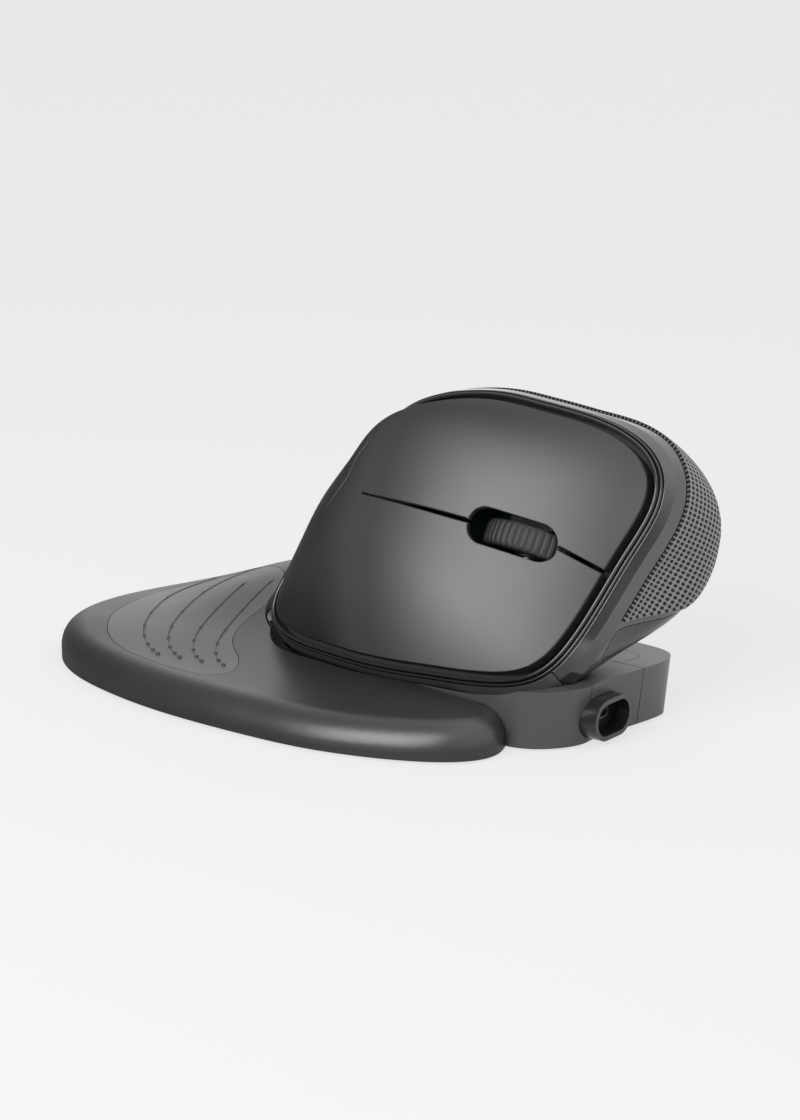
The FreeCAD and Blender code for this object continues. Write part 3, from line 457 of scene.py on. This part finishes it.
# The skin's border: its rear end, its end toward the thumb side, the seam left round it, and a
# low line as (y, z), which runs across the front of the body.
grip_rear, grip_side, grip_seam = -12.0, 23.6, 0.15
grip_low = np.array([(-60, 26.6), (13, 29.2), (19.5, 31.6), (22.8, 37.6), (23.6, 46.6)])
grip_rows, grip_columns = 300, 90
grip_start = 0.004
tail_shift, tail_rows = 0.0065, 45
u_all = np.arange(0, 1, 1 / rim_steps)
s_all = np.linspace(0, 0.985, 240)
body_grid = body_surface(u_all[:, None], s_all[None]) * 1000 - (middle_x, middle_y, 0)
inside = body_grid[..., 2] - np.interp(body_grid[..., 1], grip_low[:, 0], grip_low[:, 1]) - grip_seam
inside = np.minimum(inside, grip_side - grip_seam - body_grid[..., 1])
leaves = np.argmax(inside < 0, axis=1)
before = np.maximum(leaves - 1, 0)
last_in = np.take_along_axis(inside, before[:, None], 1)[:, 0]
first_out = np.take_along_axis(inside, leaves[:, None], 1)[:, 0]
crossing = last_in / np.where(last_in == first_out, 1, last_in - first_out)
limit = s_all[before] + (s_all[1] - s_all[0]) * crossing
limit[(leaves == 0) | (body_grid[:, 0, 0] < grip_rear)] = 0
held = np.flatnonzero(limit > grip_start)
gap_at = np.flatnonzero(np.diff(held) > 1)
held = np.roll(held, -gap_at[0] - 1) if len(gap_at) else held
u_held = np.unwrap(u_all[held] * 2 * np.pi) / (2 * np.pi)
u_grip = np.interp(np.linspace(0, 1, grip_rows), np.linspace(0, 1, len(held)), u_held)
u_shift = tail_shift * (1 - smooth(np.arange(grip_rows), 0, tail_rows))
s_edge = np.interp(u_grip + u_shift, u_held, limit[held])
share = np.linspace(0.0, 1, grip_columns)[None]
grip_s = grip_start + (s_edge[:, None] - grip_start) * share
grip_u = u_grip[:, None] + u_shift[:, None] * share
grip_face = body_surface(grip_u, grip_s)

# The holes follow the rim one way and the depth below it the other, in two even pitches.
pitch_round, pitch_deep = 1.12, 1.6
p, q, w = to_head(grip_face)
rim_angle = np.unwrap(np.arctan2(body_rim[:, 1] - body_q, body_rim[:, 0] - body_p))
rim_run = np.concatenate([[0], np.cumsum(np.linalg.norm(np.diff(body_rim, axis=0), axis=1))])
order = np.argsort(rim_angle)
angle = rim_angle.min() + np.mod(np.arctan2(q - body_q, p - body_p) - rim_angle.min(), 2 * np.pi)
grip_uv = np.stack([np.interp(angle, rim_angle[order], rim_run[order]) / pitch_round, -w / pitch_deep], -1)

grip_rubber = bpy.data.materials.new("grip_rubber")
grip_rubber.use_nodes = True
tree = grip_rubber.node_tree
skin = tree.nodes["Principled BSDF"]
skin.inputs["Specular IOR Level"].default_value = 0.4
flat = add(tree, "ShaderNodeUVMap", uv_map="surface").outputs[0]
cell = add(tree, "ShaderNodeVectorMath", {0: flat}, operation="FRACTION").outputs[0]
from_middle = add(tree, "ShaderNodeVectorMath", {0: cell, 1: (0.5, 0.5, 0)}, operation="DISTANCE")
# Painted shade: each hole is a bump dimple, and its colour falls to near black to stand in for the shade
# inside it.
hole_with_painted_shade = ramp(tree, from_middle.outputs["Value"], 0.27, 0.41, 1.0, 0.0)
height = math_node(tree, "SUBTRACT", 1.0, hole_with_painted_shade)
colour = add(tree, "ShaderNodeMix", {0: hole_with_painted_shade, 6: (0.12, 0.12, 0.12, 1), 7: (0.004, 0.004, 0.004, 1)},
             data_type="RGBA").outputs[2]
dimple = add(tree, "ShaderNodeBump", {"Height": height, "Distance": 0.00025}).outputs[0]
roughness = math_node(tree, "MULTIPLY_ADD", hole_with_painted_shade, 0.45, 0.5)
grain = add(tree, "ShaderNodeGroup", {"Colour": colour, "Roughness": roughness, "Grain size": 0.0003},
            node_tree=grain_group)
tree.links.new(grain.outputs["Colour"], skin.inputs["Base Color"])
tree.links.new(grain.outputs["Roughness"], skin.inputs["Roughness"])
tree.links.new(dimple, skin.inputs["Normal"])
skin_thick, skin_round = 0.001, 0.0002
grip = plate("grip_skin_piece", grip_face, body_normal(grip_u, grip_s), grip_rubber, skin_thick, skin_round,
             uv=grip_uv)
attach(grip, "root")
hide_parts("grip_skin")

# Inside of the head: a ring frame, chassis plate, posts, wheel carriage, plungers and the cell.
# They are plain moulded or bought-in parts, screwed and clipped behind the finger shell.
inner_plastic = moulded("inner_plastic", (0.012, 0.012, 0.012), 0.5)
dress(inner_plastic, "head_frame", "chassis_plate", "board_posts", "wheel_yoke", "wheel_hub")
plunger_resin = moulded("plunger_resin", (0.5, 0.06, 0.05), 0.45)
dress(plunger_resin, "left_plunger", "right_plunger")
cell_foil = moulded("cell_foil", (0.35, 0.37, 0.4), 0.38, size=0.002, depth=0.00002, Metallic=0.6)
dress(cell_foil, "battery_cell")


# Trim rings: two slim beads stand round the shell, one behind the other. They are polished black
# mouldings pressed into the frame.
def sweep_round(name, t, reach, depth, material):
    """A profile carried round the rim: at each t its points stand reach outward and depth up.

    reach and depth are arrays of one row for each t. A full turn closes on itself, and a part
    turn is closed by a flat face at each end."""
    spot, out = outline_at(shell_rim, t)
    p = spot[:, None, 0] + out[:, None, 0] * reach
    q = spot[:, None, 1] + out[:, None, 1] * reach
    points = from_head(p, q, depth)
    rows, columns = reach.shape
    closed = abs(t[-1] - t[0]) > rim_count - 1
    faces = [grid_faces(rows, columns, wrap_rows=closed, wrap_columns=True)]
    if not closed:
        ring = np.arange(columns)[None]
        faces += [ring, (ring + (rows - 1) * columns)[:, ::-1]]
    quad = points.reshape(-1, 3)[faces[0][columns // 2]]
    facing = np.cross(quad[2] - quad[0], quad[3] - quad[1])
    if (facing * (quad.mean(0) - points[0].mean(0))).sum() < 0:
        faces = [f[:, ::-1] for f in faces]
    return mesh_object(name, points, faces, material)


def bead_profile(start, width, top, foot):
    """Half round on top, with straight sides down to the frame."""
    angle = np.linspace(np.pi, 0, 10)
    reach = start + width / 2 + width / 2 * np.cos(angle)
    depth = top - width / 2 + width / 2 * np.sin(angle)
    return np.concatenate([[start], reach, [start + width]]), np.concatenate([[foot], depth, [foot]])


trim_gloss = moulded("trim_gloss", (0.012, 0.012, 0.013), 0.16, size=0.0005, depth=0.000001, mottle=0.03)
bead_foot, bead_rows = -4.6, 720
bead_turn = np.linspace(0, rim_count, bead_rows, endpoint=False)
for node, start, width, top in (("inner_trim_ring", 1.2, 0.9, -0.9), ("outer_trim_ring", 2.25, 0.6, -1.7)):
    reach, depth = bead_profile(start, width, top, bead_foot)
    ring = sweep_round(node + "_piece", bead_turn, np.tile(reach, (bead_rows, 1)),
                       np.tile(depth, (bead_rows, 1)), trim_gloss)
    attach(ring, "root")
    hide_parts(node)

# Frame band: a faceted moulding round the outside of the beads, clipped over the frame in two
# lengths. The one round the front and top is polished, and the one along the foot and the rear
# is satin.
band_start, band_back = 3.0, -7.2


def band_profile(t):
    """The band's section: two flat facets that meet at a crisp shoulder, 62 hundredths of the
    way out, with a small step round the outer edge and a flat back against the frame."""
    spot, _ = outline_at(shell_rim, t)
    wide = (band_reach(spot) - band_start)[:, None]
    share = np.array([0, 0.02, 0.05, 0.57, 0.6, 0.622, 0.64, 0.67, 0.955, 0.975, 0.99, 1.0, 1.0, 0.985])
    level = np.array([-2.62, -2.56, -2.645, -4.155, -4.245, -4.36, -4.47, -4.649, -6.636, -6.776, -6.9, -7.02,
                      -7.12, band_back])
    reach = np.concatenate([band_start + wide * share, np.full((len(t), 1), band_start)], 1)
    depth = np.broadcast_to(np.append(level, band_back), reach.shape)
    return reach, depth


def rim_turn_near(p, q):
    """The t at which the rim comes nearest to a place in its plane."""
    steps = 8000
    spot, _ = outline_at(shell_rim, np.linspace(0, rim_count, steps, endpoint=False))
    return np.argmin(np.hypot(spot[:, 0] - p, spot[:, 1] - q)) * rim_count / steps


band_gloss = moulded("band_gloss", (0.01, 0.01, 0.0105), 0.1, size=0.0006, depth=0.0000006, mottle=0.02,
                     Specular_IOR_Level=0.85)
band_satin = moulded("band_satin", (0.03, 0.03, 0.0305), 0.3, size=0.0006, depth=0.000002, mottle=0.04)
low_seam = rim_turn_near(48.9, 23)
top_seam = rim_turn_near(-16, 60)
seam_half = 0.018
for node, first, last, finish in (
        ("front_band", top_seam - rim_count + seam_half, low_seam - seam_half, band_gloss),
        ("lower_band", low_seam + seam_half, top_seam - seam_half, band_satin)):
    t = np.concatenate([[first, first + 0.003], np.linspace(first + 0.02, last - 0.02, 476),
                        [last - 0.003, last]])
    band = sweep_round(node + "_piece", t, *band_profile(t), finish)
    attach(band, "root")
    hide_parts(node)

# Scroll wheel: a rubber tyre with shallow ribs across its middle, on a dished hub. It turns on
# a plain axle in a sprung yoke.
wheel_p, wheel_q, wheel_w = 37.8, 48.1, -0.3
wheel_turn = math.radians(-3)
tyre_half, tyre_radius, tyre_wall, rib_depth, ribs = 3.1, 11.4, 2.6, 0.35, 40
steps_per_rib = 12


def from_wheel(x, y, z):
    """Millimetres about the axle, which lies along y, to metres in the model."""
    p = wheel_p + x * math.cos(wheel_turn) - y * math.sin(wheel_turn)
    q = wheel_q + x * math.sin(wheel_turn) + y * math.cos(wheel_turn)
    return from_head(p, q, wheel_w + z)


# The tyre's radius falls from its middle to its sides as a power of 3.2, and each rib is half a
# sine wave to the power of 0.6, which fades out toward the sides.
v = np.linspace(-1, 1, 25)
crown = tyre_radius - 1.3 * np.abs(v) ** 3.2 - 0.12 * v**2
across = tyre_half * np.sin(v * np.pi / 2 * 0.98) / math.sin(np.pi / 2 * 0.98)
angle = np.linspace(0, 2 * np.pi, ribs * steps_per_rib, endpoint=False)
wave = np.abs(np.sin(angle * ribs / 2)) ** 0.6 - 1
fade = 1 - smooth(np.abs(v), 0.5, 0.8)
outer = crown[None] + rib_depth * wave[:, None] * fade[None]
inner = np.full((len(angle), 2), tyre_radius - tyre_wall)
radius = np.concatenate([outer, inner], 1)
side = np.concatenate([across, [tyre_half, -tyre_half]])
tyre_points = from_wheel(radius * np.cos(angle)[:, None], np.broadcast_to(side, radius.shape),
                         radius * np.sin(angle)[:, None])
tyre_faces = grid_faces(len(angle), len(side), wrap_rows=True, wrap_columns=True)
tyre_rubber = moulded("tyre_rubber", (0.009, 0.009, 0.009), 0.6, size=0.0002, depth=0.00001,
                      Specular_IOR_Level=0.4)
tyre = mesh_object("wheel_tyre_piece", tyre_points, [tyre_faces], tyre_rubber)
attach(tyre, "wheel")
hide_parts("wheel_tyre")

# Finger buttons: the front of one satin dome, split along its middle into an upper and a lower
# button that flex from a hinge line, with a slot for the wheel where they part.
crown_p, crown_q, crown_height = 4.0, 46.0, 16.5
dense_steps = 7200
dense, _ = outline_at(shell_rim, np.linspace(0, rim_count, dense_steps, endpoint=False))
dense_angle = np.arctan2(dense[:, 1] - crown_q, dense[:, 0] - crown_p)
order = np.argsort(dense_angle)
table_angle = dense_angle[order]
table_reach = np.hypot(dense[:, 0] - crown_p, dense[:, 1] - crown_q)[order]


def rim_share(p, q):
    """How far a place is on the way from the crown to the rim, and its direction from the crown."""
    angle = np.arctan2(q - crown_q, p - crown_p)
    share = np.hypot(p - crown_p, q - crown_q) / np.interp(angle, table_angle, table_reach, period=2 * np.pi)
    return share, angle


def dome_height(p, q):
    """Height over the rim plane: the crown's height times one less the share of the way to the
    rim, raised to a power of 2 at the front and up to 5.5 at the rear, where the dome is full."""
    share, angle = rim_share(p, q)
    power = 2 + 3.5 * smooth(-np.cos(angle + 1.0), -0.4, 0.95)
    past_rim = crown_height * power * (1 - share)
    return np.where(share <= 1, crown_height * (1 - np.minimum(share, 1) ** power), past_rim)


def dome_plate(name, south, east, north, west, material, edges, floors, late=1):
    """A piece of the dome between four border lines of (p, q) points, in millimetres.

    The borders are mixed in pairs (a Coons patch), evened out a little and lifted onto the dome.
    South and north run the same way, west and east from south to north. edges and floors hold
    one value for each border: the radius of its rounded edge, and the level its wall goes down
    to, or None. The east border's own shape counts with the power late of the way there. The
    front is shaded as if the dome were a barrel, which keeps its highlight one straight band."""
    rows, columns = len(west), len(south)
    s = np.linspace(0, 1, columns)[None, :, None]
    t = np.linspace(0, 1, rows)[:, None, None]
    ruled = (1 - t) * south + t * north
    flat = ruled + (1 - s) * (west[:, None] - ruled[:, :1]) + s**late * (east[:, None] - ruled[:, -1:])
    for _ in range(12):
        flat[1:-1, 1:-1] = (flat[:-2, 1:-1] + flat[2:, 1:-1] + flat[1:-1, :-2] + flat[1:-1, 2:]) / 4
    p, q = flat[..., 0], flat[..., 1]
    step = 0.02
    slope_p = (dome_height(p + step, q) - dome_height(p - step, q)) / (2 * step)
    slope_q = (dome_height(p, q + step) - dome_height(p, q - step)) / (2 * step)
    crown_slope = (dome_height(p + step, crown_q) - dome_height(p - step, crown_q)) / (2 * step)
    top = from_head(p, q, dome_height(p, q))
    foot = from_head(0.0, 0.0, 0.0)
    normal = unit(from_head(-slope_p, -slope_q, np.ones_like(p)) - foot)
    barrel = unit(from_head(-crown_slope, -0.28 * slope_q, np.ones_like(p)) - foot)
    front = smooth(p, -17, -1)[..., None]
    shade = unit(barrel * front + normal * (1 - front))
    down = (from_head(0.0, 0.0, -1.0) - foot) * 1000
    border = [0] * (columns - 1) + [1] * (rows - 1) + [2] * (columns - 1) + [3] * (rows - 1)
    edge = np.array([edges[i] for i in border]) * 0.001
    floor = np.array([np.nan if floors[i] is None else floors[i] for i in border])
    level = dome_height(p, q).ravel()[loop_of(rows, columns)]
    depth = np.where(np.isnan(floor), shell_thick, level - floor) * 0.001
    drop = np.where(np.isnan(floor)[:, None], np.nan, down)
    return plate(name, top, normal, material, shell_thick * 0.001, edge, drop, depth, shade=shade)


def even(line, count):
    """Points at even steps along a line."""
    run = np.concatenate([[0], np.cumsum(np.linalg.norm(np.diff(line, axis=0), axis=1))])
    at = np.linspace(0, run[-1], count)
    return np.stack([np.interp(at, run, line[:, 0]), np.interp(at, run, line[:, 1])], -1)


def rim_line(first, last, count):
    """Points at even steps along the rim, from one t to another."""
    return even(outline_at(shell_rim, np.linspace(first, last, 600))[0], count)


def rim_turn_where(values, low, high):
    """The t between low and high at which values of (p, q) on the rim change sign."""
    t = np.linspace(low, high, 4000)
    spot, _ = outline_at(shell_rim, t)
    found = values(spot[:, 0], spot[:, 1])
    at = np.flatnonzero(found[:-1] * found[1:] <= 0)[0]
    return t[at] + (t[1] - t[0]) * found[at] / (found[at] - found[at + 1])


hinge_p = -1
slot_p, slot_q = 38.3, 48.1
slot_half, slot_wide, slot_corner = 10.0, 4.2, 3.8
shell_thick = 2.0
edge_round, hairline_round = 0.5, 0.004


def split_middle(p):
    """The split between the buttons: nearly straight to the slot, then falling to the rim."""
    return np.interp(p, [hinge_p, 48.5, 66], [49.9, 47.8, 43.4])


def split_half(p):
    """Half the split's width: a hairline at the rear that opens to 0.45 mm."""
    return 0.16 + 0.29 * smooth(p, hinge_p, 26)


def split_line(side, first, last, count):
    """One edge of the split, its middle moved sideways by half its width, from one p to another."""
    p = np.linspace(first, last, count)
    return np.stack([p, split_middle(p) + side * split_half(p)], -1)


def button_inner_border(side):
    """The split's edge from the hinge to the slot, half round the slot, and on to the rim."""
    arc = np.linspace(0, np.pi / 2, 16)
    end, rise = slot_half - slot_corner, slot_wide - slot_corner
    slot = np.concatenate([[(-slot_half, 0.35)],
                           np.stack([-end - slot_corner * np.cos(arc), rise + slot_corner * np.sin(arc)], -1),
                           np.stack([end + slot_corner * np.sin(arc), rise + slot_corner * np.cos(arc)], -1),
                           [(slot_half, 0.35)]]) * (1, side)
    slot = np.stack([slot_p + slot[:, 0] * math.cos(wheel_turn) - slot[:, 1] * math.sin(wheel_turn),
                     slot_q + slot[:, 0] * math.sin(wheel_turn) + slot[:, 1] * math.cos(wheel_turn)], -1)
    end_t = rim_turn_where(lambda p, q: q - split_middle(p) - side * split_half(p), 6.9, 5.9)
    end = outline_at(shell_rim, np.array([end_t]))[0][0]
    before = split_line(side, hinge_p, slot[0, 0], 60)
    after = split_line(side, slot[-1, 0], end[0], 40)
    after[-1] = end
    return np.concatenate([even(before, 40)[:-1], even(slot, 70), even(after, 18)[1:]]), end_t


shell_satin = moulded("shell_satin", (0.012, 0.0122, 0.0125), 0.42, size=0.00022, depth=0.000006, mottle=0.05)
hinge_top = rim_turn_where(lambda p, q: p - hinge_p, 19, 20)
hinge_low = rim_turn_where(lambda p, q: p - hinge_p, 12, 13)
button_rows, button_floor = 60, -3.0
for side, name, corner, hinge_end in ((1, "left_button", 4.0, hinge_top - rim_count),
                                      (-1, "right_button", 9.0, hinge_low)):
    south, split_end = button_inner_border(side)
    hinge_q = outline_at(shell_rim, np.array([hinge_end]))[0][0, 1]
    west = np.stack([np.full(button_rows, float(hinge_p)),
                     np.linspace(south[0, 1], hinge_q, button_rows)], -1)
    north = rim_line(hinge_end, corner, len(south))
    east = rim_line(split_end, corner, button_rows)
    button = dome_plate(name + "_piece", south, east, north, west, shell_satin,
                        (0.3, edge_round, edge_round, hairline_round),
                        (None, button_floor, button_floor, None))
    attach(button, name)
    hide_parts(name)

# Palm shell and rear inlay: the fixed rear of the dome, moulded in two pieces that meet at a
# hairline seam and are clipped to the frame. The seam runs down, then turns to the rear.
inlay_outline = [(-9.5, 82), (-6.4, 74.5), (-4.6, 68.5), (-4.6, 63), (-6.5, 57.8), (-7, 53), (-9.5, 47.5),
                 (-12, 44), (-17.6, 40.8), (-24, 38.8), (-34, 37), (-50, 50), (-40, 80)]
inlay_seam_half = 0.11
rear_floor = -4.4
inlay_line, _ = outline_at(inlay_outline, np.linspace(0, 10, 1200))
within = np.flatnonzero(rim_share(inlay_line[:, 0], inlay_line[:, 1])[0] < 1)
inlay_line = inlay_line[within[0]:within[-1] + 1]
seam_top, seam_low = (np.argmin(np.hypot(*(dense - end).T)) * rim_count / dense_steps
                      for end in (inlay_line[0], inlay_line[-1]))
inlay_line[0], inlay_line[-1] = outline_at(shell_rim, np.array([seam_top, seam_low]))[0]
hinge_q = outline_at(shell_rim, np.array([hinge_top, hinge_low]))[0][:, 1]
hinge_line = np.stack([np.full(140, float(hinge_p)), np.linspace(*hinge_q, 140)], -1)
palm = dome_plate("palm_shell_piece", hinge_line, rim_line(hinge_low, seam_low, 50),
                  even(inlay_line + (inlay_seam_half, 0), 140), rim_line(hinge_top, seam_top, 50),
                  shell_satin, (hairline_round, edge_round, 0.2, edge_round),
                  (None, rear_floor, None, rear_floor), late=3)
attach(palm, "root")
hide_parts("palm_shell")
corner_turn = 0.7
inlay = dome_plate("rear_inlay_piece", even(inlay_line - (inlay_seam_half, 0), 90),
                   rim_line(seam_low, seam_low + corner_turn, 40),
                   rim_line(seam_top - corner_turn, seam_low + corner_turn, 90),
                   rim_line(seam_top, seam_top - corner_turn, 40), shell_satin,
                   (0.2, edge_round, edge_round, edge_round), (None, rear_floor, rear_floor, rear_floor))
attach(inlay, "root")
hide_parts("rear_inlay")

# Palm rest: a moulded pad that the hand lies on, held to the base by magnets. Its upper face
# swells under the heel of the hand, and a soft pad is let into it.
rest_rubber = moulded("rest_rubber", (0.014, 0.014, 0.0145), 0.38, size=0.0003, depth=0.00001,
                      Specular_IOR_Level=0.55)
dress(rest_rubber, "palm_rest")
pad_rubber = moulded("pad_rubber", (0.022, 0.022, 0.0225), 0.36, size=0.0003, depth=0.00001,
                     Specular_IOR_Level=0.7)
dress(pad_rubber, "rest_pad")
foot_rubber = moulded("foot_rubber", (0.02, 0.02, 0.02), 0.7, size=0.0008, depth=0.00003)
dress(foot_rubber, "rest_feet")


# Rows of the pad: four curved rows of small domes, further apart and smaller toward the rear,
# joined by slim ridges that grow toward the rear. They are moulded in one with the pad.
def on_rest(x, y, above):
    """Millimetres over the footprint and above the rest's upper face, to metres. The face lies 8.5 mm
    high at the near edge and 10 mm further in, and swells by 11.5 mm under the heel of the hand."""
    swell = 11.5 * np.exp(-((x + 42) / 27) ** 2 - ((y - 14) / 30) ** 2)
    return np.stack([x + middle_x, y + middle_y, 8.5 + 1.5 * smooth(y, -50, -25) + swell + above], -1) * 0.001


row_start, row_apart = (-46.1, -40.5), (6.3, 0.8)
row_shapes = ((33, 8), (25, 8), (18, 7), (16, 7))
dot_pitch, dot_growth = 3.2, 1.32
ridge_sides, dot_sides, dot_rings = 12, 20, 9
row_points, row_faces, point_count = [], [], 0
for row, (bend_length, dots) in enumerate(row_shapes):
    place = dot_pitch * (dot_growth ** np.arange(dots) - 1) / (dot_growth - 1)
    run = np.linspace(0, place[-1] + 2, 260)
    heading = np.radians(20 + 68 * (1 - np.exp(-run / bend_length)) + 35 * smooth(run, 38, 62))
    step = run[1] - run[0]
    x = row_start[0] + row_apart[0] * row - np.cumsum(np.cos(heading)) * step
    y = row_start[1] + row_apart[1] * row + np.cumsum(np.sin(heading)) * step
    turn = np.linspace(0, 2 * np.pi, ridge_sides, endpoint=False)
    half_wide = 0.08 + 0.16 * smooth(run, place[2], place[4]) * (1 - smooth(run, place[-1], place[-1] + 2))
    side = half_wide[:, None] * np.cos(turn)
    row_points.append(on_rest(x[:, None] + side * np.sin(heading)[:, None],
                              y[:, None] + side * np.cos(heading)[:, None],
                              (half_wide * 0.8)[:, None] * np.sin(turn)))
    ring = np.arange(ridge_sides)[None] + point_count
    row_faces += [grid_faces(len(run), ridge_sides, start=point_count, wrap_columns=True), ring,
                  ring[:, ::-1] + (len(run) - 1) * ridge_sides]
    point_count += row_points[-1][..., 0].size
    circle = np.linspace(0, 2 * np.pi, dot_sides, endpoint=False)
    rise = np.linspace(-np.pi / 2, np.pi / 2, dot_rings + 2)[1:-1]
    for at, radius in zip(place, 0.36 + 0.22 * np.exp(-place / 12)):
        reach = radius * np.cos(rise)[:, None]
        row_points.append(on_rest(np.interp(at, run, x) + reach * np.cos(circle),
                                  np.interp(at, run, y) + reach * np.sin(circle),
                                  radius * 0.85 * np.sin(rise)[:, None] + 0 * circle))
        ring = np.arange(dot_sides)[None] + point_count
        row_faces += [grid_faces(dot_rings, dot_sides, start=point_count, wrap_columns=True)[:, ::-1],
                      ring[:, ::-1], ring + (dot_rings - 1) * dot_sides]
        point_count += row_points[-1][..., 0].size
rows_rubber = moulded("rows_rubber", (0.014, 0.014, 0.0145), 0.6, size=0.0003, depth=0.00001)
row_points = np.concatenate([group.reshape(-1, 3) for group in row_points])
rows = mesh_object("pad_rows_piece", row_points, row_faces, rows_rubber)
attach(rows, "rest")
